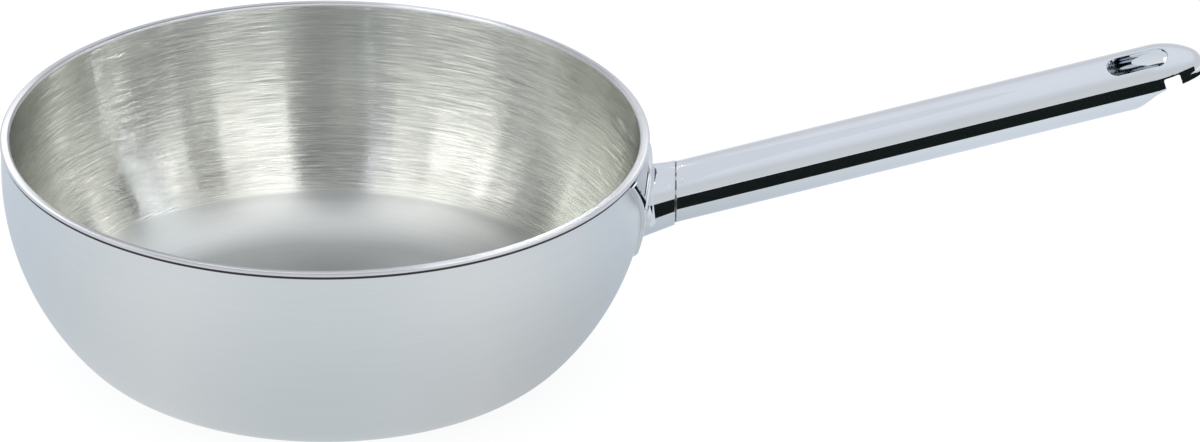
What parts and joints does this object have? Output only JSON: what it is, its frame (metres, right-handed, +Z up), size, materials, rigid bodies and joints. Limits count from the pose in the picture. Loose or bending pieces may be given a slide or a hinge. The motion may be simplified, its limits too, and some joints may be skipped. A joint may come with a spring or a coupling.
{
  "type": "saucier pan",
  "caption": "Saucier pan: a round-sided clad steel bowl with a rolled rim, a welded bracket and a straight hollow tube handle with a hanging slot and a rail notch at its end.",
  "frame": {"origin": "centre of the base's flat underside, on the surface that the pan stands on", "axes": "+X along the handle seen from above, +Z up out of the bowl, +Y across"},
  "size_m": [0.455, 0.246, 0.1304],
  "materials": {
    "inside_steel": "stainless steel, brushed round the bowl, with a polished rim",
    "outside_steel": "satin stainless steel",
    "core_metal": "rolled aluminium, bonded in",
    "polished_steel": "mirror-polished stainless steel",
    "plain_steel": "drawn stainless steel, as made",
    "weld_metal": "weld metal, ground"
  },
  "bodies": {
    "root": {"cooking_skin": "inside_steel", "upper_bond_ply": "core_metal", "heat_core": "core_metal", "lower_bond_ply": "core_metal", "induction_skin": "outside_steel", "handle_foot": "polished_steel", "spot_welds": "weld_metal", "neck": "polished_steel", "seam_weld": "weld_metal", "spigot": "plain_steel", "handle_tube": "polished_steel", "sealing_cup": "plain_steel"}
  },
  "joints": []
}
